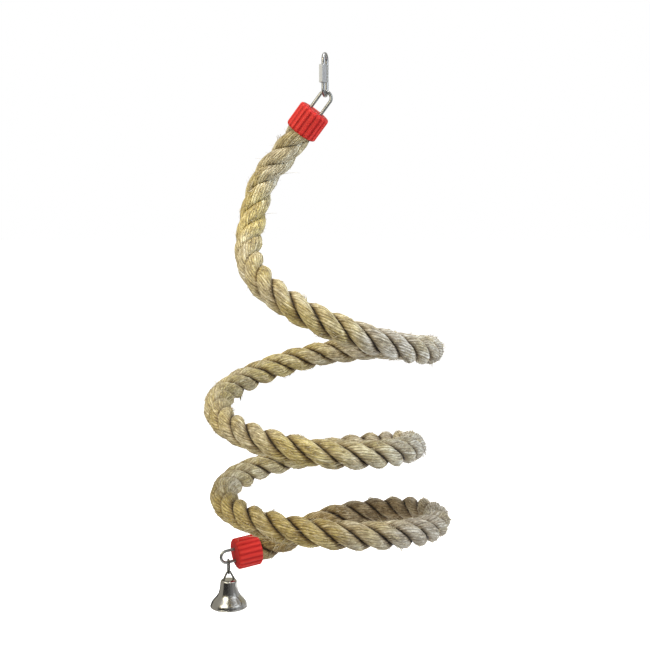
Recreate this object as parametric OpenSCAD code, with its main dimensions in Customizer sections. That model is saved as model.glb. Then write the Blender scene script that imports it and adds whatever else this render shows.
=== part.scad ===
// Hanging spiral rope perch for a cage bird: a laid rope on a wire core, a cap and a
// wire eye on each end, a quick link above and a small bell below.
// The origin is the bearing point inside the top of the quick link. Lengths are in mm.

/* [Quick link] */
// Diameter of the link's rod
link_rod_d = 3.5; // [3:0.1:4]
// Width of the link between the middles of its legs
link_w = 13; // [12:0.5:18]
// Overall length of the link
link_len = 40; // [38:0.5:50]
// Turn of the link about the vertical, in degrees
link_turn = 13; // [0:1:30]
// Size of the hex nut across its flats
nut_af = 7; // [6.5:0.1:8]
// Length of the nut
nut_len = 16; // [12:0.5:17]
// Distance from the top of the link to the nut when closed
nut_drop = 11.3; // [10.5:0.1:12]
// Length of the stub that the closed nut covers above the gap
stub_grip = 1.2; // [0.8:0.1:2]
// Length of the gap that the nut closes
link_gap = 3.2; // [3:0.1:4]

/* [Rope] */
// Diameter of the rope over its three strands
rope_d = 25; // [20:0.5:28]
// Length of one full turn of a strand round the rope
lay_len = 66; // [50:1:80]
// Angle of the first strand where the rope starts, in degrees
lay_start = 24; // [0:1:120]
// Diameter of the wire core
core_d = 3; // [2:0.1:3.5]
// Gap between neighbouring strands
strand_gap = 0.4; // [0.3:0.05:0.8]
// Gap between the wire core and the strands
core_gap = 0.5; // [0.4:0.05:1]

/* [Spiral] */
// Mean radius of the spiral, to the middle of the rope
coil_r = 95; // [85:1:120]
// Drop from the mouth of the upper cap to the mouth of the lower cap
coil_h = 406; // [380:1:520]

/* [Caps] */
// Outer diameter of the caps
cap_d = 30.6; // [29:0.1:36]
// Length of the caps
cap_len = 24.2; // [20:0.1:32]
// Thickness of a cap's end wall
cap_end = 2.4; // [1.5:0.1:4]
// Number of flutes round a cap
flute_count = 18; // [12:1:24]
// Depth of a flute
flute_depth = 0.9; // [0.4:0.1:1.3]
// Radius of a flute's hollow
flute_r = 1.5; // [1.2:0.1:2.2]
// Length of the adhesive plug behind a cap's end wall
plug_len = 5; // [4.5:0.1:7]

/* [Eyes] */
// Wire diameter of the two eyes
eye_wire_d = 3; // [2.5:0.1:3.2]
// Width of an eye between the middles of its legs
eye_w = 11.6; // [11:0.1:14]
// Straight length of the upper eye outside its cap
upper_eye_leg = 14.3; // [8:0.1:20]
// Straight length of the lower eye outside its cap
lower_eye_leg = 8.7; // [6:0.1:14]

/* [Bell] */
// Wire diameter of the oval link
ring_wire_d = 1.6; // [1.4:0.1:2]
// Overall length of the oval link
ring_len = 15.2; // [14:0.1:20]
// Distance of the oval link from the face of the lower cap
ring_at = 7.5; // [5:0.1:8]
// Wire diameter of the bail
bail_wire_d = 2; // [1.6:0.1:2.2]
// Width of the bail between its lower corners
bail_w = 13; // [12:0.1:14]
// Height of the bail from its top to its lower corners
bail_h = 10; // [9:0.1:13]
// Diameter of the bell at its mouth
bell_d = 36.6; // [30:0.1:42]
// Height of the bell from its mouth to its crown
bell_h = 26.2; // [24:0.1:34]
// Wall thickness of the bell
bell_wall = 0.8; // [0.7:0.1:1.1]
// Diameter of the clapper's ball
ball_d = 7.5; // [6:0.1:9]
// Length of the clapper from the bail to the middle of the ball
clapper_len = 15.5; // [13:0.1:18]

/* [Hidden] */

$fn = 48;
// Play between loose wires that hang in each other
play = 0.2;
// Radial clearance of the nut on its thread, and of a wire in its hole
thread_fit = 0.05;
wire_fit = 0.1;
// Radial gap between the rope and a cap's bore, and between the plug and that bore
rope_fit = 0.3;
plug_fit = 0.1;
// One overrun for all cuts
over = 1;
// Edge chamfers of the caps and of the nut
cap_chamfer = 0.8;
mouth_chamfer = 1.2;
nut_chamfer = 0.6;
// Radius and thickness of the upset head on the end of each eye leg
head_r = 2.3;
head_t = 1.2;
// Length of the wire core that stands out of the strands into a plug
core_tail = 3;
// Thickness of adhesive under the upset heads
plug_floor = 0.9;
// A bent wire is a little thicker in its bends, and its straights reach into them
bend_swell = 0.04;
bend_lap = 0.15;
// Radius of the clapper's eye, its wire and its rod
clapper_eye_r = 2.1;
clapper_wire_d = 1.2;
clapper_rod_d = 1.8;
// Sag of the bail's lower side, which keeps the clapper in the middle, and the bend
// radii of its lower corners and of the sag
bail_sag = 1.8;
bail_foot_bend = 1.3;
bail_sag_bend = 3;
// Place of the seam in the bail's lower side, as a share of half that side
bail_seam_share = 0.6;
// Bead round the mouth of the bell
bead_r = 1.1;

// Stations of the rope's middle line from cap mouth to cap mouth:
// turns round the spiral, share of coil_r, share of coil_h below the start
station_shares = [
    [0.44, 0.22, 0], [0.453, 0.445, 0.067], [0.463, 0.62, 0.104], [0.5, 0.68, 0.223],
    [0.625, 0.825, 0.323], [0.75, 0.905, 0.408], [0.875, 0.98, 0.466], [1, 1.075, 0.492],
    [1.125, 1.09, 0.503], [1.25, 1.045, 0.525], [1.375, 1.01, 0.573], [1.5, 1.02, 0.616],
    [1.625, 0.98, 0.653], [1.75, 0.955, 0.68], [1.875, 0.915, 0.691], [2, 0.88, 0.707],
    [2.125, 0.885, 0.739], [2.25, 0.915, 0.774], [2.375, 0.935, 0.802], [2.5, 0.95, 0.819],
    [2.625, 0.995, 0.832], [2.75, 1.04, 0.845], [2.875, 1.105, 0.862], [3, 1.155, 0.88],
    [3.125, 1.055, 0.896], [3.235, 0.85, 0.925], [3.328, 0.6, 0.979], [3.4, 0.81, 0.99]];
// Radius of a strand's round as a share of the rope's radius
strand_share = 0.54;
// Corners of a strand's section, sides of the wire core and rings in one turn of the lay
strand_sides = 7;
core_sides = 6;
rings_a_lay = 10;
// Bell's outer outline from the shoulder down: share of its radius, share of its height
bell_outline_shares = [[0.30, 1], [0.41, 0.98], [0.45, 0.93], [0.46, 0.8], [0.49, 0.66], [0.53, 0.52],
    [0.62, 0.39], [0.79, 0.26], [0.95, 0.13], [0.985, 0]];

function unit(v) = v / norm(v);
function last(list) = list[len(list) - 1];

// Uniform cubic B-spline through rows of values, which starts and ends on its end rows
function padded(rows) = concat([2 * rows[0] - rows[1]], rows, [2 * last(rows) - rows[len(rows) - 2]]);
function spline(rows, k, u) = (rows[k] * pow(1 - u, 3) + rows[k + 1] * (3 * pow(u, 3) - 6 * pow(u, 2) + 4)
    + rows[k + 2] * (3 * u + 3 * pow(u, 2) - 3 * pow(u, 3) + 1) + rows[k + 3] * pow(u, 3)) / 6;

// Middle line of the rope, before it is hung on its eye
stations = padded(station_shares);
spans = len(station_shares) - 1;
ring_step = lay_len / rings_a_lay;
function coil_point(row) = [coil_r * row[1] * cos(360 * row[0]), coil_r * row[1] * sin(360 * row[0]),
    -coil_h * row[2]];
function span_rings(k) = ceil(norm(coil_point(spline(stations, k, 1)) - coil_point(spline(stations, k, 0)))
    / ring_step);
coil_line = concat([for (k = [0:spans - 1]) for (j = [0:span_rings(k) - 1])
    coil_point(spline(stations, k, j / span_rings(k)))], [coil_point(last(station_shares))]);

// Directions in which the rope's two ends leave, out of the rope
upper_out = unit(coil_point(station_shares[0]) - coil_point(spline(stations, 0, 0.02)));
lower_out = unit(coil_point(last(station_shares)) - coil_point(spline(stations, spans - 1, 0.98)));

// Heights on the link, and the centre of the upper eye's bend that hangs in it
link_top = link_rod_d / 2;
link_bottom = link_rod_d + link_top - link_len;
eye_r = eye_w / 2;
eye_centre = [0, 0, link_bottom - (eye_r - eye_wire_d / 2 - link_rod_d / 2 - play)];
hang_shift = eye_centre - upper_out * (cap_len + upper_eye_leg) - coil_point(station_shares[0]);
upper_mouth = coil_point(station_shares[0]) + hang_shift;
lower_mouth = coil_point(last(station_shares)) + hang_shift;

// Whole middle line, with the straight ends inside the caps
rope_in = cap_len - cap_end - plug_len;
in_rings = ceil(rope_in / ring_step);
rope_line = concat(
    [for (k = [in_rings:-1:1]) upper_mouth + upper_out * rope_in * k / in_rings],
    [for (p = coil_line) p + hang_shift],
    [for (k = [1:in_rings]) lower_mouth + lower_out * rope_in * k / in_rings]);
rings = len(rope_line);
tangents = [for (i = [0:rings - 1]) unit(rope_line[min(i + 1, rings - 1)] - rope_line[max(i - 1, 0)])];
run = [for (i = 0, s = 0; i < rings; s = s + (i < rings - 1 ? norm(rope_line[i + 1] - rope_line[i]) : 0),
    i = i + 1) s];
function square_to(n, t) = unit(n - t * (n * t));
normals = [for (i = 0, n = square_to([0, 0, 1], tangents[0]); i < rings;
    n = square_to(n, tangents[min(i + 1, rings - 1)]), i = i + 1) n];

// Section of one strand in the plane across the rope: a round, pressed flat against its
// neighbours on both sides and kept clear of the wire core
rope_r = rope_d / 2;
strand_r = rope_r * strand_share;
function press(p, side) = p - max(0, -p[0] * sin(60) + side * p[1] * cos(60) + strand_gap / 2)
    * [-sin(60), side * cos(60)];
function clear_core(p) = [max(p[0], core_d / 2 + core_gap), p[1]];
strand_section = [for (k = [0:strand_sides - 1])
    let (a = 360 * k / strand_sides, side = a <= 180 ? 1 : -1)
    press(clear_core([rope_r - strand_r + strand_r * cos(a), strand_r * sin(a)]), side)];

function turned(p, a) = [p[0] * cos(a) - p[1] * sin(a), p[0] * sin(a) + p[1] * cos(a)];
function on_ring(i, p) = rope_line[i] + normals[i] * p[0] + cross(tangents[i], normals[i]) * p[1];

// Closed skin over rings of points, its quads cut from the outside of one ring to the
// inside of the next on both flanks
module skin(points, sides, count) {
    function at(i, k) = i * sides + k % sides;
    flanks = [for (i = [0:count - 2]) for (k = [0:sides - 1]) each
        (k < sides / 2
            ? [[at(i, k), at(i + 1, k + 1), at(i, k + 1)], [at(i, k), at(i + 1, k), at(i + 1, k + 1)]]
            : [[at(i, k), at(i + 1, k), at(i, k + 1)], [at(i, k + 1), at(i + 1, k), at(i + 1, k + 1)]])];
    first = [for (k = [1:sides - 2]) [0, k, k + 1]];
    end = [for (k = [1:sides - 2]) [at(count - 1, 0), at(count - 1, k + 1), at(count - 1, k)]];
    polyhedron(points = points, faces = concat(flanks, first, end), convexity = 10);
}

module strand(index) {
    points = [for (i = [0:rings - 1]) for (p = strand_section)
        on_ring(i, turned(p, lay_start + 120 * index + 360 * run[i] / lay_len))];
    skin(points, strand_sides, rings);
}

module rope_strand_1() {
    color("#c9b27a") strand(0);
}

module rope_strand_2() {
    color("#bfa66b") strand(1);
}

module rope_strand_3() {
    color("#b39a63") strand(2);
}

// Wire core: a ring at every other station of the strands and at the ends of its two tails
core_rings = concat([0], [for (i = [1:2:rings - 2]) i], [rings - 1]);
core_line = concat([rope_line[0] + upper_out * core_tail], [for (i = core_rings) rope_line[i]],
    [last(rope_line) + lower_out * core_tail]);
core_index = concat([0], core_rings, [rings - 1]);
module core_wire() {
    points = [for (j = [0:len(core_line) - 1]) for (k = [0:core_sides - 1])
        core_line[j] - rope_line[core_index[j]]
            + on_ring(core_index[j], core_d / 2 * [cos(360 * k / core_sides), sin(360 * k / core_sides)])];
    color("#8c8c8c") skin(points, core_sides, len(core_line));
}

// Places children with their Z axis along out and their X axis on the lower side
function level_side(out) = unit(cross([0, 0, 1], out));
function lower_side(out) = cross(level_side(out), out);
module at_end(place, out) {
    y = level_side(out);
    x = lower_side(out);
    multmatrix([[x[0], y[0], out[0], place[0]], [x[1], y[1], out[1], place[1]],
        [x[2], y[2], out[2], place[2]], [0, 0, 0, 1]]) children();
}

// Round wire bent round the corners of a flat outline, in the XZ plane
module bent_wire(corners, bends, wire_d, closed = false) {
    n = len(corners);
    function bend(i) = is_list(bends) ? bends[(i + n) % n] : bends;
    function corner(i) = corners[(i + n) % n];
    function to_next(i) = unit(corner(i + 1) - corner(i));
    function inner_angle(i) = acos(-to_next(i - 1) * to_next(i));
    function is_end(i) = !closed && (i % n == 0 || i % n == n - 1);
    function setback(i) = is_end(i) ? 0 : bend(i) / tan(inner_angle(i) / 2);
    function lap(i) = is_end(i) ? 0 : bend_lap;
    function angle_of(v) = atan2(v[1], v[0]);
    rotate([90, 0, 0]) {
        for (i = [0:n - (closed ? 1 : 2)]) {
            length = norm(corner(i + 1) - corner(i)) - setback(i) - setback(i + 1);
            if (length > bend_swell) {
                translate(corner(i) + to_next(i) * (setback(i) - lap(i)))
                    rotate([0, 90, angle_of(to_next(i))])
                        cylinder(d = wire_d, h = length + lap(i) + lap(i + 1));
            }
        }
        for (i = [closed ? 0 : 1:n - (closed ? 1 : 2)]) {
            before = -to_next(i - 1);
            after = to_next(i);
            centre = corner(i) + unit(before + after) * bend(i) / sin(inner_angle(i) / 2);
            left_turn = cross(-before, after) > 0;
            start = corner(i) + (left_turn ? before : after) * setback(i) - centre;
            translate(centre)
                rotate(angle_of(start))
                    rotate_extrude(angle = 180 - inner_angle(i))
                        translate([bend(i), 0])
                            circle(d = wire_d + bend_swell);
        }
    }
}

// Quick link in its own plane: X across the link, Z up; the nut is on the near leg
nut_top = link_rod_d - nut_drop;
module in_link() {
    rotate([0, 0, -90 - link_turn]) children();
}

module quick_link_body() {
    gap_top = nut_top - stub_grip;
    half = link_w / 2;
    color("#c4c6c8") in_link() difference() {
        bent_wire([[half, link_top], [-half, link_top], [-half, link_bottom], [half, link_bottom]],
            half, link_rod_d, closed = true);
        translate([half - link_rod_d, -link_rod_d, gap_top - link_gap])
            cube([2 * link_rod_d, 2 * link_rod_d, link_gap]);
    }
}

module quick_link_nut() {
    corner_r = nut_af / 2 / cos(30);
    color("#c4c6c8") in_link() translate([link_w / 2, 0, nut_top - nut_len]) difference() {
        intersection() {
            cylinder(r = corner_r, h = nut_len, $fn = 6);
            rotate_extrude() polygon([[0, 0], [corner_r - nut_chamfer, 0], [corner_r, nut_chamfer],
                [corner_r, nut_len - nut_chamfer], [corner_r - nut_chamfer, nut_len], [0, nut_len]]);
        }
        translate([0, 0, -over]) cylinder(r = link_rod_d / 2 + thread_fit, h = nut_len + 2 * over);
    }
}

// Parts at a rope end, with the mouth of the cap at Z = 0 and the rope below it
bore_r = rope_r + rope_fit;
bore_len = cap_len - cap_end;
leg_end = rope_in + plug_floor;

module cap() {
    r = cap_d / 2;
    difference() {
        rotate_extrude() polygon([[bore_r + mouth_chamfer, 0], [r - cap_chamfer, 0], [r, cap_chamfer],
            [r, cap_len - cap_chamfer], [r - cap_chamfer, cap_len], [0, cap_len], [0, bore_len],
            [bore_r, bore_len], [bore_r, mouth_chamfer]]);
        for (k = [0:flute_count - 1]) {
            rotate(360 * k / flute_count)
                translate([r - flute_depth + flute_r, 0, -over])
                    cylinder(r = flute_r, h = cap_len + 2 * over);
        }
        for (side = [-1, 1]) {
            translate([side * eye_r, 0, 0]) cylinder(d = eye_wire_d + 2 * wire_fit, h = cap_len + over);
        }
    }
}

module eye(leg) {
    top = cap_len + leg + eye_r;
    bent_wire([[-eye_r, leg_end], [-eye_r, top], [eye_r, top], [eye_r, leg_end]], eye_r, eye_wire_d);
    for (side = [-1, 1]) {
        translate([side * eye_r, 0, leg_end]) cylinder(r = head_r, h = head_t);
    }
}

module plug() {
    difference() {
        translate([0, 0, rope_in]) cylinder(r = bore_r - plug_fit, h = plug_len);
        translate([0, 0, rope_in - over])
            cylinder(r = core_d / 2 + wire_fit, h = core_tail + over + wire_fit);
        for (side = [-1, 1]) {
            translate([side * eye_r, 0, leg_end - wire_fit]) {
                cylinder(r = head_r + wire_fit, h = head_t + 2 * wire_fit);
                cylinder(d = eye_wire_d + 2 * wire_fit, h = plug_len);
            }
        }
    }
}

module upper_cap() {
    color("#d8322a") at_end(upper_mouth, upper_out) cap();
}

module upper_eye() {
    color("#9a9c9e") at_end(upper_mouth, upper_out) eye(upper_eye_leg);
}

module upper_plug() {
    color("#e6dcc0") at_end(upper_mouth, upper_out) plug();
}

module lower_cap() {
    color("#d8322a") at_end(lower_mouth, lower_out) cap();
}

module lower_eye() {
    color("#9a9c9e") at_end(lower_mouth, lower_out) eye(lower_eye_leg);
}

module lower_plug() {
    color("#e6dcc0") at_end(lower_mouth, lower_out) plug();
}

// Hanging parts of the bell: the oval link hangs on the lower leg of the lower eye
level_out = unit([lower_out[0], lower_out[1], 0]);
ring_pivot = lower_mouth + lower_out * (cap_len + ring_at) + lower_side(lower_out) * eye_r;
ring_r = eye_wire_d / 2 + play + ring_wire_d / 2;
ring_drop = ring_len - 2 * ring_r - ring_wire_d;
bail_bend = ring_wire_d / 2 + play + bail_wire_d / 2;
bail_drop = ring_drop + ring_r - bail_bend;
bar_drop = bail_drop + bail_h;
crown_drop = bar_drop - bail_wire_d / 2 - play - bell_wall;

// Places children below the pivot, with X along the eye's leg and Z up
module under_pivot() {
    translate(ring_pivot) rotate(atan2(level_out[1], level_out[0])) children();
}

module bell_link() {
    color("#6e6f6c") under_pivot() rotate(90)
        bent_wire([[-ring_r, ring_r], [ring_r, ring_r], [ring_r, -ring_drop - ring_r],
            [-ring_r, -ring_drop - ring_r]], ring_r, ring_wire_d, closed = true);
}

// The bail is a triangle of wire whose ends meet in its sagging lower side; its rounded
// top falls short of the sharp corner of the two arms
bail_half = bail_w / 2;
bail_rise = bail_h - bail_bend;
bail_lean = atan(bail_half / bail_rise) - asin(bail_bend / norm([bail_half, bail_rise]));
bail_peak = bail_bend / sin(bail_lean) - bail_bend - bail_drop;
bail_corner = [bail_half, -bar_drop];
bail_low = [0, -bar_drop - bail_sag];
sag_rise = bail_sag_bend * (norm([bail_half, bail_sag]) / bail_half - 1);
clapper_drop = bar_drop + bail_sag - sag_rise;
bail_seam = bail_low + (bail_corner - bail_low) * bail_seam_share;

module bell_bail() {
    color("#5c5b55") under_pivot()
        bent_wire([bail_seam, bail_corner, [0, bail_peak], [-bail_half, -bar_drop], bail_low,
            bail_seam - unit(bail_corner - bail_low) * wire_fit],
            [0, bail_foot_bend, bail_bend, bail_foot_bend, bail_sag_bend, 0], bail_wire_d);
}

// Outer outline of the bell from the crown to the mouth, then inside it one wall away
bell_rows = padded(bell_outline_shares);
bell_steps = 4;
bell_outer = concat([for (k = [0:len(bell_outline_shares) - 2]) for (j = [0:bell_steps - 1])
    let (row = spline(bell_rows, k, j / bell_steps)) [bell_d / 2 * row[0], bell_h * row[1]]],
    [[bell_d / 2 * last(bell_outline_shares)[0], 0]]);
function outline_normal(i) = let (d = bell_outer[min(i + 1, len(bell_outer) - 1)] - bell_outer[max(i - 1, 0)])
    unit([-d[1], d[0]]);
bell_inner = [for (i = [len(bell_outer) - 1:-1:0]) bell_outer[i] - bell_wall * outline_normal(i)];

module bell_shell() {
    color("#b9bbbd") under_pivot() difference() {
        translate([0, 0, -crown_drop - bell_h]) {
            rotate_extrude()
                polygon(concat([[0, bell_h]], bell_outer, bell_inner, [[0, bell_h - bell_wall]]));
            rotate_extrude() translate([bell_d / 2 - bead_r, 0]) circle(r = bead_r);
        }
        for (side = [-1, 1]) {
            translate([side * (bail_half - bail_wire_d / 2), 0, -bar_drop])
                cylinder(d = bail_wire_d + bail_foot_bend, h = bar_drop - crown_drop + over);
        }
    }
}

module clapper() {
    color("#8f9193") under_pivot() translate([0, 0, -clapper_drop]) {
        eye_drop = clapper_eye_r - bail_wire_d / 2 - clapper_wire_d / 2 - play;
        translate([0, 0, -eye_drop]) rotate([0, 90, 0]) rotate_extrude()
            translate([clapper_eye_r, 0]) circle(d = clapper_wire_d, $fn = 24);
        translate([0, 0, -clapper_len]) {
            sphere(d = ball_d);
            cylinder(d = clapper_rod_d, h = clapper_len - eye_drop - clapper_eye_r);
        }
    }
}

// Least gap between two stretches of the rope more than a quarter turn apart
turn_gap = min([for (i = [0:rings - 1]) for (j = [i + 1:rings - 1])
    if (run[j] - run[i] > coil_r * PI / 2) norm(rope_line[i] - rope_line[j])]) - rope_d;
echo(turn_gap = turn_gap, rope_length = last(run), rings = rings);
echo(eye_centre = eye_centre, hinge_axis = unit(cross([0, 0, 1], upper_out)), upper_out = upper_out);
echo(ring_pivot = ring_pivot, level_out = level_out, lower_out = lower_out, lower_mouth = lower_mouth);
echo(bail_drop = bail_drop, clapper_drop = clapper_drop, crown_drop = crown_drop, nut_top = nut_top);

quick_link_body();
quick_link_nut();
upper_eye();
upper_cap();
upper_plug();
rope_strand_1();
rope_strand_2();
rope_strand_3();
core_wire();
lower_plug();
lower_cap();
lower_eye();
bell_link();
bell_bail();
bell_shell();
clapper();
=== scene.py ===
"""Looks of the hanging spiral rope perch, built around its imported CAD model.

The stage is laid out in metres. The rope and the caps are worked out in millimetres, as in the
part's source, and are scaled by MM when their meshes are made. Named angles are in degrees.
"""
import math

import bpy
import numpy as np
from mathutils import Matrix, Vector


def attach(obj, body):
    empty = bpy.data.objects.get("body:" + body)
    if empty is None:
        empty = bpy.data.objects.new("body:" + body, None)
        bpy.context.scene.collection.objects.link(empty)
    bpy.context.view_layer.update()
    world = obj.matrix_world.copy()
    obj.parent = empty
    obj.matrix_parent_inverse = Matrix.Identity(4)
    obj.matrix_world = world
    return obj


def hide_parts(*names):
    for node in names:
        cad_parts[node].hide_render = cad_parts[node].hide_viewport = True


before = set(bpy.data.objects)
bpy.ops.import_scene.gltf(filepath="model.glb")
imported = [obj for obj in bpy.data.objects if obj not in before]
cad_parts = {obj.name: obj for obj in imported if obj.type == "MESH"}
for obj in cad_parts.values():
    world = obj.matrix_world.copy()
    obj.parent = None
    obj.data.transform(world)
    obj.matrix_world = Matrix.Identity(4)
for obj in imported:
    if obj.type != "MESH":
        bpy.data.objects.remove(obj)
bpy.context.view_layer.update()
MM = 0.001
TURN = 2 * np.pi
UP = np.array([0, 0, 1.0])
BLACK, WHITE = (0, 0, 0), (1, 1, 1)

# camera: width of the film, then width and focal length of the photograph in its pixels
FILM_WIDTH = 36.0
PHOTO_WIDTH = 650
PHOTO_FOCAL = 1110
CAMERA_PLACE = (0, -1.0178, -0.1345)
CAMERA_DIP = 6.06
CAMERA_NEAR = 0.05

# lamps: place, width, power in watts and colour, each one turned to LAMP_TARGET
LAMP_TARGET = (0, 0, -0.3)
LAMPS = {
    "key": ((-1.15, -0.95, 0.6), 0.4, 17, (1.0, 0.89, 0.62)),
    "fill": ((1.28, -0.43, 0.18), 0.5, 19, (0.81, 0.905, 1.0)),
    "top": ((-0.05, -0.2, 0.8), 0.4, 8.2, (1.0, 0.98, 0.95)),
    "back": ((0.25, 1.4, 0.35), 0.7, 7, (1.0, 0.98, 0.95))}

# world: weak cool light on the part, white behind it and in its shiny surfaces
SOFT_COLOUR = (0.95, 0.97, 1.0)
SOFT_LEVEL = 0.2


def add_object(name, data):
    obj = bpy.data.objects.new(name, data)
    bpy.context.scene.collection.objects.link(obj)
    return obj


def make_camera():
    data = bpy.data.cameras.new("camera")
    data.sensor_width = FILM_WIDTH
    data.lens = FILM_WIDTH * PHOTO_FOCAL / PHOTO_WIDTH
    data.clip_start = CAMERA_NEAR
    obj = add_object("camera", data)
    obj.location = CAMERA_PLACE
    obj.rotation_euler = (math.radians(90 - CAMERA_DIP), 0, 0)
    bpy.context.scene.camera = obj


def make_lamp(name, place, width, power, colour):
    data = bpy.data.lights.new(name, "AREA")
    data.size = width
    data.energy = power
    data.color = colour
    obj = add_object(name, data)
    obj.location = place
    obj.rotation_euler = (Vector(LAMP_TARGET) - Vector(place)).to_track_quat("-Z", "Y").to_euler()


# node helpers; a seed moves its pattern by SEED_STEPS
SEED_STEPS = (37.0, 11.0, 5.0)


class Nodes:
    """Short helper for building one node tree."""

    def __init__(self, tree):
        self.tree = tree

    def node(self, kind, **values):
        made = self.tree.nodes.new(kind)
        for key, value in values.items():
            setattr(made, key, value)
        return made

    def link(self, start, end):
        self.tree.links.new(start, end)

    def feed(self, socket, value):
        """Give a socket a number, a colour or another node's output."""
        if isinstance(value, (int, float)):
            socket.default_value = value
        elif isinstance(value, tuple):
            socket.default_value = (*value, 1)
        else:
            self.link(value, socket)

    def math(self, operation, *values, clamp=False):
        made = self.node("ShaderNodeMath", operation=operation, use_clamp=clamp)
        for socket, value in zip(made.inputs, values):
            self.feed(socket, value)
        return made.outputs[0]

    def weigh(self, start, *parts):
        """A start value plus each part times its weight."""
        total = start
        for value, weight in parts:
            total = self.math("MULTIPLY_ADD", value, weight, total)
        return total

    def span(self, value, low, high, to_low, to_high):
        """A value between low and high carried over to another range, and held at its ends."""
        made = self.node("ShaderNodeMapRange", clamp=True)
        self.link(value, made.inputs["Value"])
        limits = {"From Min": low, "From Max": high, "To Min": to_low, "To Max": to_high}
        for key, limit in limits.items():
            made.inputs[key].default_value = limit
        return made.outputs["Result"]

    def noise(self, vector, scale, detail=3.0, rough=0.5):
        made = self.node("ShaderNodeTexNoise")
        made.inputs["Scale"].default_value = scale
        made.inputs["Detail"].default_value = detail
        made.inputs["Roughness"].default_value = rough
        self.link(vector, made.inputs["Vector"])
        return made.outputs["Fac"]

    def ramp(self, fac, stops):
        made = self.node("ShaderNodeValToRGB")
        elements = made.color_ramp.elements
        while len(elements) < len(stops):
            elements.new(0.5)
        for element, (at, colour) in zip(elements, stops):
            element.position = at
            element.color = (*colour, 1)
        self.link(fac, made.inputs["Fac"])
        return made.outputs["Color"]

    def mix(self, fac, first, second, blend="MIX"):
        made = self.node("ShaderNodeMix", data_type="RGBA", blend_type=blend)
        for place, value in ((0, fac), (6, first), (7, second)):
            self.feed(made.inputs[place], value)
        return made.outputs[2]

    def background(self, colour, level):
        made = self.node("ShaderNodeBackground")
        self.feed(made.inputs["Color"], colour)
        self.feed(made.inputs["Strength"], level)
        return made.outputs[0]

    def seen(self):
        """1 for rays from the camera, off shiny surfaces and through clear ones."""
        path = self.node("ShaderNodeLightPath")
        shown = self.math("MAXIMUM", path.outputs["Is Camera Ray"], path.outputs["Is Glossy Ray"])
        return self.math("MAXIMUM", shown, path.outputs["Is Transmission Ray"])

    def axes(self, vector):
        made = self.node("ShaderNodeSeparateXYZ")
        self.link(vector, made.inputs[0])
        return made.outputs

    def coords(self, which):
        return self.node("ShaderNodeTexCoord").outputs[which]

    def attribute(self, name):
        return self.node("ShaderNodeAttribute", attribute_name=name).outputs["Fac"]

    def moved(self, vector, seed, across, along):
        """UVs stretched across and along the yarns, and moved to another place for each seed."""
        made = self.node("ShaderNodeMapping")
        made.inputs["Scale"].default_value = (across, along, 1)
        made.inputs["Location"].default_value = [step * seed for step in SEED_STEPS]
        self.link(vector, made.inputs["Vector"])
        return made.outputs["Vector"]


class Look(Nodes):
    """One procedural material, and the sockets of its shader by name."""

    def __init__(self, name):
        self.material = bpy.data.materials.new(name)
        self.material.use_nodes = True
        super().__init__(self.material.node_tree)
        self.shader = self.tree.nodes["Principled BSDF"]

    def set(self, **values):
        for key, value in values.items():
            self.feed(self.shader.inputs[key.replace("_", " ")], value)

    def roughness(self, fac, low, high):
        """Roughness from low to high as a noise rises."""
        self.set(Roughness=self.ramp(fac, [(0.3, (low, low, low)), (0.7, (high, high, high))]))

    def bump(self, height, strength, distance):
        made = self.node("ShaderNodeBump")
        made.inputs["Strength"].default_value = strength
        made.inputs["Distance"].default_value = distance
        self.link(height, made.inputs["Height"])
        self.set(Normal=made.outputs["Normal"])


def make_world():
    world = bpy.data.worlds.new("studio")
    bpy.context.scene.world = world
    world.use_nodes = True
    sky = Nodes(world.node_tree)
    sky.tree.nodes.clear()
    mix = sky.node("ShaderNodeMixShader")
    sky.link(sky.seen(), mix.inputs["Fac"])
    sky.link(sky.background(SOFT_COLOUR, SOFT_LEVEL), mix.inputs[1])
    sky.link(sky.background(WHITE, 1.0), mix.inputs[2])
    out = sky.node("ShaderNodeOutputWorld")
    sky.link(mix.outputs[0], out.inputs["Surface"])


make_camera()
make_world()
bpy.context.scene.view_settings.view_transform = "Standard"
for name, lamp in LAMPS.items():
    make_lamp(name, *lamp)


# mesh helpers
def new_piece(name, verts, faces, material, body, uv=None, replaces=()):
    mesh = bpy.data.meshes.new(name)
    mesh.from_pydata([tuple(v) for v in verts], [], [tuple(f) for f in faces])
    mesh.update()
    if uv is not None:
        layer = mesh.uv_layers.new(name="UVMap")
        layer.data.foreach_set("uv", np.asarray(uv, np.float32).reshape(-1))
    mesh.polygons.foreach_set("use_smooth", [True] * len(mesh.polygons))
    obj = add_object(name, mesh)
    obj.data.materials.append(material)
    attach(obj, body)
    if replaces:
        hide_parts(*replaces)
    return obj


def point_values(obj, name, values):
    """A number on each point of a mesh, which its material reads by name."""
    layer = obj.data.attributes.new(name, "FLOAT", "POINT")
    layer.data.foreach_set("value", np.asarray(values, np.float32).ravel())


def grid_faces(rows, cols):
    """Faces between rows of points, each row closed to a ring."""
    i, k = np.meshgrid(np.arange(rows - 1), np.arange(cols), indexing="ij")
    i, k = i.ravel(), k.ravel()
    after = (k + 1) % cols
    return np.stack([i * cols + k, (i + 1) * cols + k, (i + 1) * cols + after, i * cols + after], -1)


def grid_uv(u, v, last_u):
    """UVs for the corners of grid_faces, where u reaches last_u as the ring closes."""
    u = np.concatenate([u, np.full((len(u), 1), float(last_u))], 1)
    v = np.concatenate([v, v[:, :1]], 1)
    point = np.stack([u, v], -1)
    corners = [point[:-1, :-1], point[1:, :-1], point[1:, 1:], point[:-1, 1:]]
    return np.stack(corners, 2).reshape(-1, 4, 2)


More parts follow.
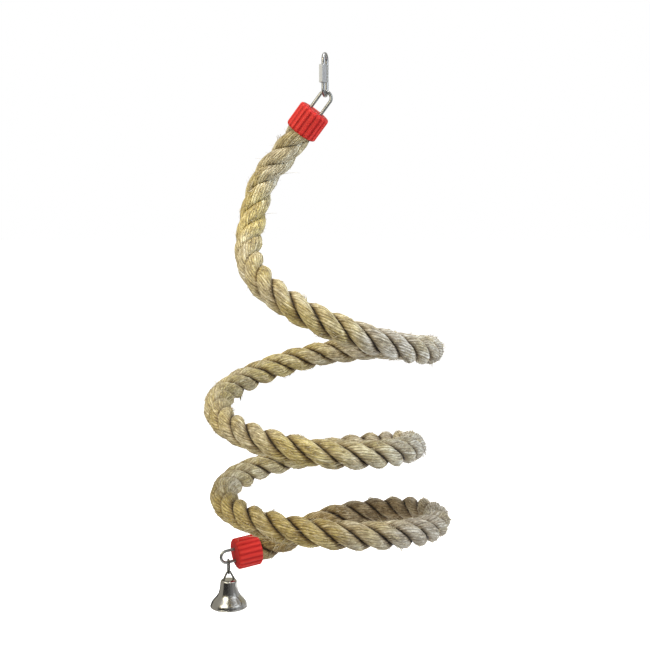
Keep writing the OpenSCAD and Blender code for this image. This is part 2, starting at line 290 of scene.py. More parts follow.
# sisal: steps of its tone from dark to light, in golden and in grey fibre
TONE_STEPS = (0.36, 0.47, 0.56, 0.70)
TONE_START = -0.305
GOLDEN = ((0.17, 0.12, 0.035), (0.38, 0.288, 0.088), (0.57, 0.455, 0.155), (0.90, 0.80, 0.42))
GREYED = ((0.17, 0.14, 0.10), (0.36, 0.315, 0.25), (0.53, 0.485, 0.405), (0.90, 0.88, 0.82))
# golden and grey fibre lie in patches, and the grey also takes over to the right between two places, as
# painted cool light from that side
PATCH_CONTRAST = 2.6
GREY_FROM, GREY_TO = -0.02, 0.09
FLECK_SEED = 7
PALE_FLECK, PALE_SHARE = (0.95, 0.90, 0.72), 0.55
DARK_FLECK, DARK_SHARE = (0.16, 0.11, 0.05), 0.5
# painted shade in the seams between yarns: colour and strength, then how closely it keeps to the seam
SEAM_SHADE_COLOUR, SEAM_SHADE_SHARE = (0.12, 0.08, 0.03), 0.55
SEAM_POWER = 4.0
# painted shade in the rope's grooves: the colour is multiplied by these steps as a point lies deeper
PAINTED_GROOVE_SHADE = [(0.3, WHITE), (0.62, (0.56, 0.48, 0.39)), (0.86, (0.09, 0.065, 0.045))]
# colour by which the painted shade of the lowest turns multiplies
LOW_TURN_SHADE = (0.52, 0.42, 0.27)
# relief of the bump in metres: fibre, scuffs on plastic, grain of metal and set adhesive
FIBRE_RELIEF = 0.0008
SCUFF_RELIEF = 0.0001
GRAIN_RELIEF = 0.00005
RESIN_RELIEF = 0.0003
# a pit in metal is this share as bright as the metal
PIT_SHARE = 0.45


def yarn_number(look, around, seed):
    """A number from 0 to 1 for each yarn of a strand."""
    cell = look.node("ShaderNodeCombineXYZ")
    look.feed(cell.inputs["X"], look.math("FLOOR", around))
    look.feed(cell.inputs["Y"], seed)
    dice = look.node("ShaderNodeTexWhiteNoise", noise_dimensions="2D")
    look.link(cell.outputs[0], dice.inputs["Vector"])
    return dice.outputs["Value"]


def sisal_flecks(look, colour, uv, seed):
    """Pale and dark flecks over a colour."""
    fleck = look.noise(look.moved(uv, seed + FLECK_SEED, across=3.0, along=4.0), scale=1.0, detail=2.0)
    pale = look.ramp(fleck, [(0.60, BLACK), (0.70, WHITE)])
    dark = look.ramp(fleck, [(0.30, WHITE), (0.40, BLACK)])
    colour = look.mix(look.math("MULTIPLY", pale, PALE_SHARE), colour, PALE_FLECK)
    return look.mix(look.math("MULTIPLY", dark, DARK_SHARE), colour, DARK_FLECK)


def sisal_material(name, seed):
    """Natural hard fibre: streaks along each yarn, golden and grey fibre, painted shade in seams, grooves
    and lowest turns.
    """
    look = Look(name)
    uv = look.coords("UV")
    place = look.coords("Object")
    around = look.axes(uv)["X"]
    yarn = yarn_number(look, around, seed)
    streak = look.noise(look.moved(uv, seed, across=1.9, along=1.1), scale=1.0, rough=0.6)
    fine = look.noise(look.moved(uv, seed, across=5.5, along=3.4), scale=1.0, rough=0.7)
    blotch = look.noise(place, scale=160.0, rough=0.65)
    tone = look.weigh(TONE_START, (streak, 0.65), (fine, 0.5), (yarn, 0.12), (blotch, 0.35))
    golden = look.ramp(tone, list(zip(TONE_STEPS, GOLDEN)))
    greyed = look.ramp(tone, list(zip(TONE_STEPS, GREYED)))

    patch = look.noise(place, scale=16.0, detail=2.0)
    # painted light: greyer to the right, where the cool fill lamp falls
    right = look.span(look.axes(place)["X"], GREY_FROM, GREY_TO, 0.0, 1.0)
    pick = look.weigh(-PATCH_CONTRAST / 2, (patch, PATCH_CONTRAST), (yarn, 0.3))
    colour = look.mix(look.math("ADD", pick, right, clamp=True), golden, greyed)
    colour = sisal_flecks(look, colour, uv, seed)

    # painted shade in the seams between yarns; the same mask also sinks the seams in the bump
    from_middle = look.math("ABSOLUTE", look.weigh(-1.0, (look.math("FRACT", around), 2.0)))
    seam = look.math("POWER", from_middle, SEAM_POWER)
    colour = look.mix(look.math("MULTIPLY", seam, SEAM_SHADE_SHARE), colour, SEAM_SHADE_COLOUR)
    # painted shade: the deeper a point lies in an open groove, the darker
    colour = look.mix(1.0, colour, look.ramp(look.attribute("depth"), PAINTED_GROOVE_SHADE), "MULTIPLY")
    # painted shade on the lowest turns, where the turns above keep the light off
    colour = look.mix(look.attribute("painted_shade"), colour, LOW_TURN_SHADE, "MULTIPLY")
    height = look.weigh(0.0, (fine, 0.5), (streak, 0.8), (seam, -0.4))
    look.bump(height, strength=1.0, distance=FIBRE_RELIEF)
    look.set(Base_Color=colour, Roughness=0.55, Specular_IOR_Level=0.4)
    look.set(Sheen_Weight=0.12, Sheen_Roughness=0.4)
    return look.material


def fibre_material():
    look = Look("loose_fibre")
    tone = look.noise(look.coords("Object"), scale=90.0, detail=2.0)
    look.set(Base_Color=look.ramp(tone, [(0.35, (0.38, 0.31, 0.18)), (0.65, (0.66, 0.57, 0.38))]))
    look.set(Roughness=0.55)
    return look.material


def red_plastic():
    """Red moulded plastic, slightly scuffed, with painted shade: darker in the flutes than on the ridges,
    darkest on the end face.
    """
    look = Look("red_moulded_plastic")
    place = look.coords("Object")
    tone = look.noise(place, scale=70.0)
    scuff = look.noise(place, scale=700.0, rough=0.6)
    # painted shade: flutes darker than ridges, and the end face darkest
    colour = look.ramp(look.attribute("flute"), [
        (0.0, (0.40, 0.013, 0.012)), (0.35, (0.47, 0.017, 0.015)),
        (0.75, (0.56, 0.025, 0.02)), (1.0, (0.64, 0.038, 0.029))])
    colour = look.mix(look.math("MULTIPLY", tone, 0.3), colour, (0.45, 0.014, 0.012))
    look.roughness(scuff, low=0.42, high=0.56)
    look.bump(scuff, strength=0.02, distance=SCUFF_RELIEF)
    look.set(Base_Color=colour, Specular_IOR_Level=0.13)
    return look.material


def metal(name, low, high, rough, bump=0.02, pits=0.0):
    """Metal between two tones and two roughnesses, with dark pits where pits is more than 0."""
    look = Look(name)
    place = look.coords("Object")
    tone = look.noise(place, scale=55.0)
    fine = look.noise(place, scale=400.0, rough=0.6)
    colour = look.ramp(tone, [(0.35, low), (0.65, high)])
    if pits:
        spots = look.noise(place, scale=300.0, detail=2.0)
        spots = look.ramp(spots, [(0.62, BLACK), (0.72, WHITE)])
        pit_colour = tuple(PIT_SHARE * channel for channel in low)
        colour = look.mix(look.math("MULTIPLY", spots, pits), colour, pit_colour)
    look.roughness(fine, *rough)
    look.bump(fine, strength=bump, distance=GRAIN_RELIEF)
    look.set(Base_Color=colour, Metallic=1.0)
    return look.material


def resin_material():
    look = Look("set_adhesive")
    tone = look.noise(look.coords("Object"), scale=250.0, detail=4.0)
    look.set(Base_Color=look.ramp(tone, [(0.3, (0.45, 0.36, 0.2)), (0.7, (0.62, 0.53, 0.33))]))
    look.bump(tone, strength=0.3, distance=RESIN_RELIEF)
    look.set(Roughness=0.35)
    return look.material


STRANDS = 3
SISAL = [sisal_material("sisal_%d" % (k + 1), k + 1.0) for k in range(STRANDS)]
FIBRE = fibre_material()
RED = red_plastic()
PLATED = metal("zinc_plated_steel", (0.23, 0.23, 0.235), (0.29, 0.29, 0.29), (0.32, 0.4))
TURNED = metal("zinc_plated_nut", (0.32, 0.32, 0.325), (0.38, 0.38, 0.38), (0.34, 0.42))
EYE = metal("plated_wire", (0.235, 0.237, 0.228), (0.31, 0.31, 0.30), (0.3, 0.38))
NICKEL = metal("nickel_plate", (0.42, 0.41, 0.385), (0.46, 0.45, 0.425), (0.15, 0.2), bump=0.01)
DARK_WIRE = metal("dull_wire", (0.10, 0.095, 0.085), (0.17, 0.165, 0.15), (0.3, 0.42), pits=0.3)
PLAIN_STEEL = metal("plain_steel", (0.25, 0.25, 0.25), (0.38, 0.38, 0.37), (0.3, 0.5))
RESIN = resin_material()

# sizes of the rope, the caps and what fixes the rope's start, as in the part's source
ROPE_D = 25.0
LAY_LEN = 66.0
LAY_START = 24.0
CORE_D = 3.0
COIL_R = 95.0
COIL_H = 406.0
CAP_D = 30.6
CAP_LEN = 24.2
CAP_END = 2.4
FLUTE_COUNT = 18
FLUTE_R = 1.5
PLUG_LEN = 5.0
ROPE_FIT = 0.3
EYE_WIRE_D = 3.0
EYE_W = 11.6
UPPER_EYE_LEG = 14.3
LINK_ROD_D = 3.5
LINK_LEN = 40.0
PLAY = 0.2
ROPE_R = ROPE_D / 2
CAP_R = CAP_D / 2

# stations of the spiral, as in the part's source: turn, share of COIL_R and share of COIL_H
STATIONS = np.array([
    [0.44, 0.22, 0], [0.453, 0.445, 0.067], [0.463, 0.62, 0.104], [0.5, 0.68, 0.223],
    [0.625, 0.825, 0.323], [0.75, 0.905, 0.408], [0.875, 0.98, 0.466], [1, 1.075, 0.492],
    [1.125, 1.09, 0.503], [1.25, 1.045, 0.525], [1.375, 1.01, 0.573], [1.5, 1.02, 0.616],
    [1.625, 0.98, 0.653], [1.75, 0.955, 0.68], [1.875, 0.915, 0.691], [2, 0.88, 0.707],
    [2.125, 0.885, 0.739], [2.25, 0.915, 0.774], [2.375, 0.935, 0.802], [2.5, 0.95, 0.819],
    [2.625, 0.995, 0.832], [2.75, 1.04, 0.845], [2.875, 1.105, 0.862], [3, 1.155, 0.88],
    [3.125, 1.055, 0.896], [3.235, 0.85, 0.925], [3.328, 0.6, 0.979], [3.4, 0.81, 0.99]])
# small give of the rope: run from the upper cap, half width and movement
SAG = [(116, 60, (1.3, 0, 0)), (210, 50, (0.5, 0, 0.6)), (620, 70, (0, 0, -1.5)),
       (900, 60, (0, 0, -0.9)), (1545, 35, (0, 0, -1.0)), (1705, 58, (0, 0, -5.2)),
       (1798, 20, (0, 0, 3.2))]
STEP = 2.0
# share of the first and the last span over which the direction of the cap is taken
END_SHARE = 0.02


def unit(vector):
    return vector / np.linalg.norm(vector, axis=-1, keepdims=True)


def directions(line):
    """Direction of a line at each of its points."""
    k = np.arange(len(line))
    return unit(line[np.minimum(k + 1, len(line) - 1)] - line[np.maximum(k - 1, 0)])


def run_of(line):
    """Length of a line up to each of its points."""
    return np.concatenate([[0], np.cumsum(np.linalg.norm(np.diff(line, axis=0), axis=1))])


def hump(run, at, wide):
    """1 at one place on the rope, falling to nothing on both sides."""
    return np.exp(-((run - at) / wide) ** 2)


def ease(run, at, wide):
    """From 0 before a place on the rope to 1 after it."""
    return 1 / (1 + np.exp(-(run - at) / wide))


def polar_point(station):
    angle = station[..., 0] * TURN
    radius = COIL_R * station[..., 1]
    return np.stack([radius * np.cos(angle), radius * np.sin(angle), -COIL_H * station[..., 2]], -1)


def span_points(stations, k, share):
    """Points of a cubic B-spline at shares of its span k, which four stations from k on shape."""
    u = np.asarray(share, float)[:, None]
    return polar_point((stations[k] * (1 - u) ** 3 + stations[k + 1] * (3 * u ** 3 - 6 * u ** 2 + 4)
                        + stations[k + 2] * (3 * u + 3 * u ** 2 - 3 * u ** 3 + 1)
                        + stations[k + 3] * u ** 3) / 6)


def rope_route():
    """Middle line of the rope from plug to plug, both caps' directions, and its rows inside a cap."""
    first, last = STATIONS[0], STATIONS[-1]
    stations = np.concatenate([[2 * first - STATIONS[1]], STATIONS, [2 * last - STATIONS[-2]]])
    spans = len(STATIONS) - 1
    line = []
    for k in range(spans):
        ends = span_points(stations, k, [0, 1])
        count = int(np.ceil(np.linalg.norm(ends[1] - ends[0]) / STEP))
        line.append(span_points(stations, k, np.arange(count) / count))
    line = np.concatenate(line + [polar_point(last)[None]])
    up_out = unit(polar_point(first) - span_points(stations, 0, [END_SHARE])[0])
    low_out = unit(polar_point(last) - span_points(stations, spans - 1, [1 - END_SHARE])[0])

    # the link hangs from the origin, and the upper eye from the rod at the link's lower end
    low_rod = LINK_ROD_D + LINK_ROD_D / 2 - LINK_LEN
    eye_centre = low_rod - (EYE_W / 2 - EYE_WIRE_D / 2 - LINK_ROD_D / 2 - PLAY)
    line = line + eye_centre * UP - up_out * (CAP_LEN + UPPER_EYE_LEG) - line[0]
    run = run_of(line)
    for at, wide, move in SAG:
        line = line + hump(run, at, wide)[:, None] * np.array(move)

    inside = CAP_LEN - CAP_END - PLUG_LEN
    count = int(np.ceil(inside / STEP))
    reach = np.arange(1, count + 1)[:, None] / count * inside
    line = np.concatenate([(line[0] + up_out * reach)[::-1], line, line[-1] + low_out * reach])
    return line, up_out, low_out, count


def carried_normals(tangent):
    """A normal at each point of the line, carried along it without twist."""
    normal = np.zeros_like(tangent)
    last = UP
    for k, along in enumerate(tangent):
        last = last - along * (last @ along)
        last = last / np.linalg.norm(last)
        normal[k] = last
    return normal


LINE, UP_OUT, LOW_OUT, IN_ROWS = rope_route()
UP_MOUTH, LOW_MOUTH = LINE[IN_ROWS], LINE[-1 - IN_ROWS]
ROWS = len(LINE)
RUN = run_of(LINE)
TANGENT = directions(LINE)
NORMAL = carried_normals(TANGENT)
SIDE = np.cross(TANGENT, NORMAL)

# surface of a strand: its radius, and its yarns with YARN_COLS columns of the mesh to each
STRAND_SEED = 40
STRAND_SHARE = 0.54
STRAND_R = ROPE_R * STRAND_SHARE
STRAND_SWELL = 0.12
YARNS = 18
YARN_COLS = 5
STRAND_COLS = YARNS * YARN_COLS
YARN_LAY = 41.0
YARN_DEPTH = 0.5
YARN_EDGE_SHARE = 0.97
# unevenness: its height, the number of waves added up, and the range of their lengths
UNEVEN = 0.2
WAVES = 4
YARN_WAVES = (9, 70)
STRAND_WAVES = (30, 160)
# its flanks stand FLANK_SWELL fuller, most at 90 / FLANK_RATE degrees off its outer side
FLANK_SWELL = 0.4
FLANK_RATE = 1.25
# space kept round the core, and half the space between strands
CORE_SPACE = 0.3
HALF_GAP = 0.06
# in shut grooves, what lies deeper than FILL_BELOW is raised by a share of that; in open ones, a
# point at GROOVE_DEPTH has the depth 1, which gets the full painted groove shade
FILL_SHARE = 0.55
FILL_BELOW = 0.5
GROOVE_DEPTH = 5.0
# a strand has a third of the rope's round, so it ends 60 degrees off its middle
COS_THIRD, SIN_THIRD = 0.5, math.sqrt(3) / 2
# the grooves are nearly shut up to OPEN_AT, and narrower round two bends: place, half width, loss
SHUT_SHARE = 0.3
OPEN_AT, OPEN_EASE = 180, 14
TIGHT_BENDS = [(735, 45, 0.35), (1300, 45, 0.35)]
# painted shade below the upper turns: all round from the first place, only on the inner side from the
# second
SHADE_AT, SHADE_EASE, SHADE_LEVEL = 1340, 25, 0.4
INNER_AT, INNER_EASE = 1650, 12
# length of rope to one unit of UV
UV_LEN = 10


def wobble(rng, lengths):
    """Smooth seeded unevenness along the rope, about -1 to 1, of waves in a range of lengths."""
    total = np.zeros_like(RUN)
    for _ in range(WAVES):
        total += np.sin(RUN * TURN / rng.uniform(*lengths) + rng.uniform(0, TURN))
    return total / WAVES ** 0.5


def open_share(run):
    """How deep the grooves stand open: less where the rope is pulled straight and round the left bends."""
    share = SHUT_SHARE + (1 - SHUT_SHARE) * ease(run, OPEN_AT, OPEN_EASE)
    for at, wide, loss in TIGHT_BENDS:
        share = share - loss * hump(run, at, wide)
    return share


def yarn_relief(rng, yarn_angle):
    """Height of the yarns round a strand, uneven from yarn to yarn and along the rope."""
    count = YARNS * yarn_angle / TURN
    yarn = np.floor(count).astype(int) % YARNS
    from_middle = np.abs((count % 1) * 2 - 1)
    lift = np.stack([wobble(rng, YARN_WAVES) for _ in range(YARNS)], 1)
    round_drop = 1 - np.sqrt(np.clip(1 - (YARN_EDGE_SHARE * from_middle) ** 2, 0, 1))
    relief = UNEVEN * np.take_along_axis(lift, yarn, 1) - YARN_DEPTH * round_drop
    return relief + UNEVEN * wobble(rng, STRAND_WAVES)[:, None]


def strand_surface(index):
    """Points of one strand, and how deep in an open groove each lies. Its yarns wind back round it."""
    rng = np.random.default_rng(STRAND_SEED + index)
    run = RUN[:, None]
    yarn_angle = np.broadcast_to(np.arange(STRAND_COLS) * TURN / STRAND_COLS, (ROWS, STRAND_COLS))
    angle = yarn_angle - TURN * run / YARN_LAY
    around = np.abs((angle + np.pi) % TURN - np.pi)
    flank = np.sin(np.clip(around, 0, np.pi / FLANK_RATE) * FLANK_RATE) ** 2
    radius = STRAND_R + STRAND_SWELL + yarn_relief(rng, yarn_angle) + FLANK_SWELL * flank
    out = np.maximum(ROPE_R - STRAND_R + radius * np.cos(angle), CORE_D / 2 + CORE_SPACE)
    aside = radius * np.sin(angle)

    # what passes the neighbours is moved back to them, and grooves that are shut are filled
    opening = open_share(run)
    side = np.where(aside >= 0, 1.0, -1.0)
    past = np.maximum(0, side * aside * COS_THIRD - out * SIN_THIRD + HALF_GAP)
    reach = np.hypot(out, aside)
    fill = FILL_SHARE * (1 - opening) * np.maximum(ROPE_R - FILL_BELOW - reach, 0) / reach
    fill = 1 + np.where(past > 0, 0, fill)
    out = out * fill + past * SIN_THIRD
    aside = aside * fill - past * side * COS_THIRD

    turn = TURN * (index / STRANDS + run / LAY_LEN) + math.radians(LAY_START)
    up = out * np.cos(turn) - aside * np.sin(turn)
    across = out * np.sin(turn) + aside * np.cos(turn)
    points = LINE[:, None] + NORMAL[:, None] * up[..., None] + SIDE[:, None] * across[..., None]
    depth = np.clip((ROPE_R - np.hypot(up, across)) / GROOVE_DEPTH, 0, 1) * opening
    return points, depth


def painted_shade_share(points):
    """How much painted shade darkens the rope at the points of a strand, from 0 to 1."""
    axis = np.stack([0 * RUN, 0 * RUN, LINE[:, 2]], -1)
    inward = unit(axis - LINE)
    facing = ((points - LINE[:, None]) * inward[:, None]).sum(-1) / ROPE_R
    inner = ease(RUN, INNER_AT, INNER_EASE)
    whole = SHADE_LEVEL * ease(RUN, SHADE_AT, SHADE_EASE) * (1 - inner)
    return np.clip(facing + 0.5, 0, 1) * inner[:, None] + whole[:, None]


def make_strand(index):
    """One strand as a piece of the scene. Its points and their depths go on to the loose fibres."""
    points, depth = strand_surface(index)
    columns = np.arange(STRAND_COLS)
    faces = grid_faces(ROWS, STRAND_COLS)[:, ::-1].tolist()
    faces += [columns.tolist(), ((ROWS - 1) * STRAND_COLS + columns)[::-1].tolist()]
    around = np.broadcast_to(columns / YARN_COLS, points.shape[:2])
    along = np.broadcast_to(RUN[:, None] / UV_LEN, points.shape[:2])
    uv = grid_uv(around, along, YARNS)[:, ::-1].reshape(-1, 2)
    uv = np.concatenate([uv, np.zeros((2 * STRAND_COLS, 2))])
    obj = new_piece("strand_%d" % (index + 1), (points * MM).reshape(-1, 3), faces, SISAL[index],
                    "perch", uv=uv, replaces=("rope_strand_%d" % (index + 1),))
    point_values(obj, "depth", depth)
    point_values(obj, "painted_shade", painted_shade_share(points))
    return points, depth


SURFACES = [make_strand(index) for index in range(STRANDS)]

# loose fibres: ranges of length, lift, drift and curl; hairs start where the depth is below HAIR_DEPTH
FIBRE_SEED = 7
SINGLES = 5600
TUFTS = 300
HAIR_DEPTH = 0.5
BARE_ROWS = 4
LONG_SHARE = 0.05
SHORT_HAIR = ((2, 6), (0.15, 1.0), (-0.6, 0.6), (-0.7, 0.35))
LONG_HAIR = ((9, 20), (0.35, 1.1), (-0.6, 0.6), (-0.7, 0.35))
TUFT_HAIR = ((2.5, 6), (1.0, 1.9), (-0.8, 0.8), (-0.6, 0.2))
# how the hairs of a tuft differ: factors of length and lift, then changes of drift and curl
TUFT_SPREAD = ((0.6, 1.1), (0.7, 1.15), (-0.4, 0.4), (-0.2, 0.2))
# hairs in a tuft, and how far they start from its middle, each from a number to below another
TUFT_COUNT, TUFT_ROWS, TUFT_COLS = (5, 11), (-1, 2), (-4, 5)
SHORT_STEPS, LONG_STEPS = 4, 6
SINGLE_RADIUS, TUFT_RADIUS = (0.13, 0.27), (0.2, 0.38)
HAIR_SIDES = 3
HAIR_ROOT = 0.15
HAIR_TAPER = 0.75
HAIR_DROOP = -0.06 * UP
# slopes of a hair's rise, curl and drift, and how much a lifted hair falls short along the strand
RISE_SLOPE, CURL_SLOPE, DRIFT_SLOPE = 0.55, 0.3, 0.5
LIFT_SHORTENS = 0.25
HAIR_TILT = 0.3


def hair_points(points, row, col, way, shape, steps, radius):
    """Rings of points along one hair, which leaves the strand along it, rises, drifts and curls."""
    length, lift, drift, curl = shape
    base = points[row, col]
    along = unit(points[row + 2, col] - base) * way
    out = unit(base - LINE[row])
    across = np.cross(along, out)
    t = np.arange(steps + 1)[:, None] / steps
    forward = along * (t - LIFT_SHORTENS * lift * t * t)
    rising = out * (RISE_SLOPE * lift * t + CURL_SLOPE * curl * t * t)
    drifting = across * (DRIFT_SLOPE * drift * t * t)
    path = base - out * HAIR_ROOT + length * (forward + rising + drifting) + HAIR_DROOP * length * t * t
    heading = directions(path)
    first = unit(np.cross(heading, out + HAIR_TILT * across))
    second = np.cross(heading, first)
    rings = []
    for k in range(HAIR_SIDES):
        angle = TURN * k / HAIR_SIDES
        spoke = first * math.cos(angle) + second * math.sin(angle)
        rings.append(path + radius * (1 - HAIR_TAPER * t) * spoke)
    return np.stack(rings, 1).reshape(-1, 3)


def make_fibres(singles, tufts):
    rng = np.random.default_rng(FIBRE_SEED)
    verts, faces = [], []
    free = np.arange(IN_ROWS + BARE_ROWS, ROWS - IN_ROWS - BARE_ROWS)

    def draw(ranges):
        return [rng.uniform(*limits) for limits in ranges]

    def add_hair(points, row, col, way, shape, steps, radius):
        tube = grid_faces(steps + 1, HAIR_SIDES)[:, [0, 3, 2, 1]]
        faces.extend((tube + len(verts)).tolist())
        verts.extend((hair_points(points, row, col, way, shape, steps, radius) * MM).tolist())

    for k in range(singles + tufts):
        row = int(rng.choice(free))
        points, depth = SURFACES[int(rng.integers(STRANDS))]
        col = int(rng.choice(np.flatnonzero(depth[row] < HAIR_DEPTH)))
        way = 1 if rng.random() < 0.5 else -1
        if k < singles:
            long = rng.random() < LONG_SHARE
            shape = draw(LONG_HAIR if long else SHORT_HAIR)
            steps = LONG_STEPS if long else SHORT_STEPS
            add_hair(points, row, col, way, shape, steps, rng.uniform(*SINGLE_RADIUS))
            continue
        length, lift, drift, curl = draw(TUFT_HAIR)
        for _ in range(int(rng.integers(*TUFT_COUNT))):
            hair_row = int(np.clip(row + rng.integers(*TUFT_ROWS), free[0], free[-1]))
            hair_col = int((col + rng.integers(*TUFT_COLS)) % STRAND_COLS)
            spread = draw(TUFT_SPREAD)
            shape = (length * spread[0], lift * spread[1], drift + spread[2], curl + spread[3])
            add_hair(points, hair_row, hair_col, way, shape, SHORT_STEPS, rng.uniform(*TUFT_RADIUS))
    new_piece("loose_fibres", verts, faces, FIBRE, "perch")


make_fibres(SINGLES, TUFTS)

# caps: their rounded edges, how far into the bore they go, and the steps of the edges and the side
CAP_ROUND = 2.6
MOUTH_ROUND = 0.6
BORE_SEEN = 9.0
BORE_EDGE = 1.4
MOUTH_STEPS, FOOT_STEPS, HEAD_STEPS = 3, 8, 9
SIDE_ROWS = 10
# end face: two rings measured in from the cap's side, rings by radius, and how deep these are sunk
FACE_EDGE, FACE_RIM = 3.2, 4.5
FACE_RINGS = (9.0, 5.0, 0.4)
RIM_DROP, FACE_DROP = 0.02, 0.05
# flutes: soft hollows with slightly domed ridges between them, which fade out over FLUTE_FADE
FLUTE_COLS = 16
FLUTE_DEPTH = 0.8
FLUTE_POWER = 1.2
RIDGE_DOME = 0.16
RIDGE_FROM = 1.3
RIDGE_POWER = 0.7
FLUTE_FADE = 2.0
# level of painted shade that the material reads where there are no flutes, and within FACE_BAND of the
# cap's end; lower is darker
SIDE_LEVEL, FACE_LEVEL = 0.7, 0.1
FACE_BAND = 1.0


def fillet(across, along, radius, start, end, steps):
    """Arc in a cap's profile from one angle to another."""
    angles = [math.radians(start + (end - start) * k / steps) for k in range(steps + 1)]
    return [(across + radius * math.cos(a), along + radius * math.sin(a)) for a in angles]


def cap_profile():
    """Distances from a cap's axis and from its mouth, out of the bore and over to the end face."""
    bore = ROPE_R + ROPE_FIT
    flat = CAP_LEN - 2 * CAP_ROUND
    profile = [(bore, BORE_SEEN), (bore, BORE_EDGE)]
    profile += fillet(bore + MOUTH_ROUND, MOUTH_ROUND, MOUTH_ROUND, 180, 270, MOUTH_STEPS)
    profile += fillet(CAP_R - CAP_ROUND, CAP_ROUND, CAP_ROUND, 270, 360, FOOT_STEPS)
    profile += [(CAP_R, CAP_ROUND + flat * k / SIDE_ROWS) for k in range(1, SIDE_ROWS)]
    profile += fillet(CAP_R - CAP_ROUND, CAP_LEN - CAP_ROUND, CAP_ROUND, 0, 90, HEAD_STEPS)
    profile += [(CAP_R - FACE_EDGE, CAP_LEN), (CAP_R - FACE_RIM, CAP_LEN - RIM_DROP)]
    return profile + [(ring, CAP_LEN - FACE_DROP) for ring in FACE_RINGS]


def flute_depths():
    """Depth of the cap's side below the middle of a ridge, for each column of its mesh."""
    pitch = TURN * CAP_R / FLUTE_COUNT
    share = (np.arange(FLUTE_COUNT * FLUTE_COLS) % FLUTE_COLS) / FLUTE_COLS
    arc = np.minimum(share, 1 - share) * pitch
    hollow = FLUTE_DEPTH * np.clip(1 - (arc / FLUTE_R) ** 2, 0, 1) ** FLUTE_POWER
    rise = np.clip((arc - RIDGE_FROM) / (pitch / 2 - RIDGE_FROM), 0, 1)
    dome = RIDGE_DOME * rise ** RIDGE_POWER
    return hollow - dome + RIDGE_DOME


def make_cap(name, mouth, out, node):
    """One cap from its mouth outwards, in place of the plainer cap of the CAD model."""
    side = unit(np.cross(UP, out))
    low = np.cross(side, out)
    profile = cap_profile()
    flutes = flute_depths()
    cols = len(flutes)
    angle = np.arange(cols) * TURN / cols
    verts, shade_levels = [], []
    for radius, along in profile:
        fluted = min(1.0, max(0.0, (radius - (CAP_R - CAP_ROUND)) / FLUTE_FADE))
        ring = radius - flutes * fluted
        plain = FACE_LEVEL if along > CAP_LEN - FACE_BAND else SIDE_LEVEL
        # painted shade level: low in the flutes and on the end face
        shade_levels.append((1 - flutes / (FLUTE_DEPTH + RIDGE_DOME)) * fluted + plain * (1 - fluted))
        spokes = low * (ring * np.cos(angle))[:, None] + side * (ring * np.sin(angle))[:, None]
        verts.append(mouth + out * along + spokes)
    faces = grid_faces(len(profile), cols).tolist()
    faces.append(((len(profile) - 1) * cols + np.arange(cols)).tolist())
    obj = new_piece(name, np.concatenate(verts) * MM, faces, RED, "perch",
                    replaces=(node,))
    point_values(obj, "flute", np.concatenate(shade_levels))


make_cap("cap_top", UP_MOUTH, UP_OUT, "upper_cap")
make_cap("cap_bottom", LOW_MOUTH, LOW_OUT, "lower_cap")

# finish of the CAD nodes that stay
FINISH = {
    "quick_link_body": PLATED, "quick_link_nut": TURNED, "upper_eye": EYE, "lower_eye": EYE,
    "bell_link": DARK_WIRE, "bell_bail": DARK_WIRE, "bell_shell": NICKEL, "clapper": PLAIN_STEEL,
    "core_wire": PLAIN_STEEL, "upper_plug": RESIN, "lower_plug": RESIN}
for name, material in FINISH.items():
    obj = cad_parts[name]
    obj.data.materials.clear()
    obj.data.materials.append(material)

# floor: a sheet that glows white from FLOOR_FAR outwards, and FLOOR_DIM inside FLOOR_NEAR
FLOOR_HALF = 20.0
FLOOR_PLACE = (0, 0, -0.78)
FLOOR_NEAR, FLOOR_FAR, FLOOR_DIM = 0.3, 0.75, 0.6
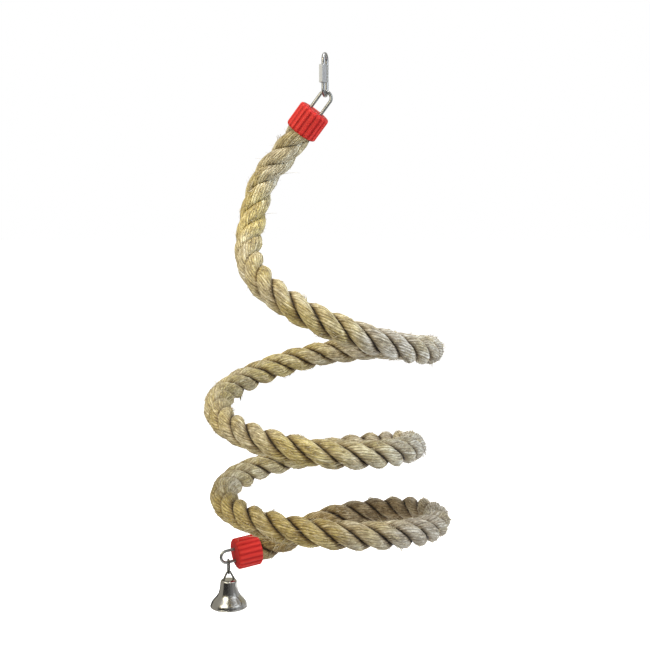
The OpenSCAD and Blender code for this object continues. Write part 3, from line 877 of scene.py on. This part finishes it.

# curved glowing cards seen in shiny surfaces alone, painted reflections, highlights and dark patches:
# lowest and highest place, radius, first and last angle from the camera's side, level, and a colour
# where it isn't white
LOW, BACK_FOOT, MID, HIGH = -0.76, -0.45, -0.22, 0.8
LINK_FOOT, LINK_MID, LINK_TOP = -0.03, 0.06, 0.45
BY_LINK, NEAR, RING, FAR = 0.3, 0.5, 0.9, 1.25
CARD_STEPS = 24
CARDS = {
    "card_low_left": (LOW, MID, NEAR, -125, -74, 0.5, (1.0, 0.96, 0.85)),
    "card_low_dark": (LOW, MID, NEAR, -74, -18, 0.05),
    "card_low_front": (LOW, MID, NEAR, -18, 14, 0.13),
    "card_low_mid": (LOW, MID, NEAR, 14, 50, 0.26),
    "card_low_right": (LOW, MID, NEAR, 50, 110, 0.42),
    "card_strip_left": (MID, 1.5, RING, -60, -12, 3.2, (1.0, 0.99, 0.84)),
    "card_front": (MID, 0.7, 0.95, -14, 20, 0.3),
    "card_strip_right": (MID, 1.3, RING, 18, 84, 1.8, (0.91, 0.95, 1.0)),
    "card_left": (LOW, HIGH, FAR, -170, -62, 0.55, (1.0, 0.97, 0.87)),
    "card_right": (LOW, HIGH, FAR, 84, 170, 0.65),
    "card_back": (BACK_FOOT, HIGH, RING, 128, 232, 0.55, (1.0, 0.95, 0.74)),
    "card_low_back": (LOW, BACK_FOOT, NEAR, -178, -125, 0.12),
    "card_link_side": (-LINK_MID, LINK_MID, BY_LINK, -120, -66, 2.1, (1.0, 0.99, 0.9)),
    "card_link_top": (LINK_MID, LINK_TOP, BY_LINK, -120, -14, 0.3),
    "card_link_left": (LINK_FOOT, LINK_MID, BY_LINK, -66, -14, 0.5),
    "card_link_front": (LINK_FOOT, LINK_TOP, BY_LINK, -14, 14, 0.3),
    "card_link_right": (LINK_FOOT, LINK_TOP, BY_LINK, 14, 50, 0.5)}


def stage_sheet(name, verts, faces, material, place=(0, 0, 0)):
    mesh = bpy.data.meshes.new(name)
    mesh.from_pydata(verts, [], faces)
    obj = add_object(name, mesh)
    obj.location = place
    obj.data.materials.append(material)
    return obj


def make_floor():
    look = Look("floor_paper")
    from_middle = look.node("ShaderNodeVectorMath", operation="LENGTH")
    look.link(look.coords("Object"), from_middle.inputs[0])
    level = look.span(from_middle.outputs["Value"], FLOOR_NEAR, FLOOR_FAR, FLOOR_DIM, 1.0)
    look.set(Base_Color=(0.9, 0.9, 0.9), Roughness=0.9, Emission_Color=WHITE,
             Emission_Strength=look.math("MULTIPLY", look.seen(), level))
    half = FLOOR_HALF
    corners = [(-half, -half, 0), (half, -half, 0), (half, half, 0), (-half, half, 0)]
    stage_sheet("floor", corners, [(0, 1, 2, 3)], look.material, FLOOR_PLACE)


def make_card(name, low, high, radius, start, end, level, colour=WHITE):
    look = Look(name + "_painted_reflection")
    # painted reflection: a sheet that glows and is seen only in shiny surfaces
    look.set(Base_Color=BLACK, Specular_IOR_Level=0, Emission_Color=colour, Emission_Strength=level)
    verts = []
    for k in range(CARD_STEPS + 1):
        angle = math.radians(start + (end - start) * k / CARD_STEPS)
        verts += [(radius * math.sin(angle), -radius * math.cos(angle), z) for z in (low, high)]
    faces = [(2 * k, 2 * k + 2, 2 * k + 3, 2 * k + 1) for k in range(CARD_STEPS)]
    obj = stage_sheet(name, verts, faces, look.material)
    obj.visible_camera = False
    obj.visible_diffuse = False
    obj.visible_shadow = False
    obj.visible_transmission = False


make_floor()
for name, card in CARDS.items():
    make_card(name, *card)
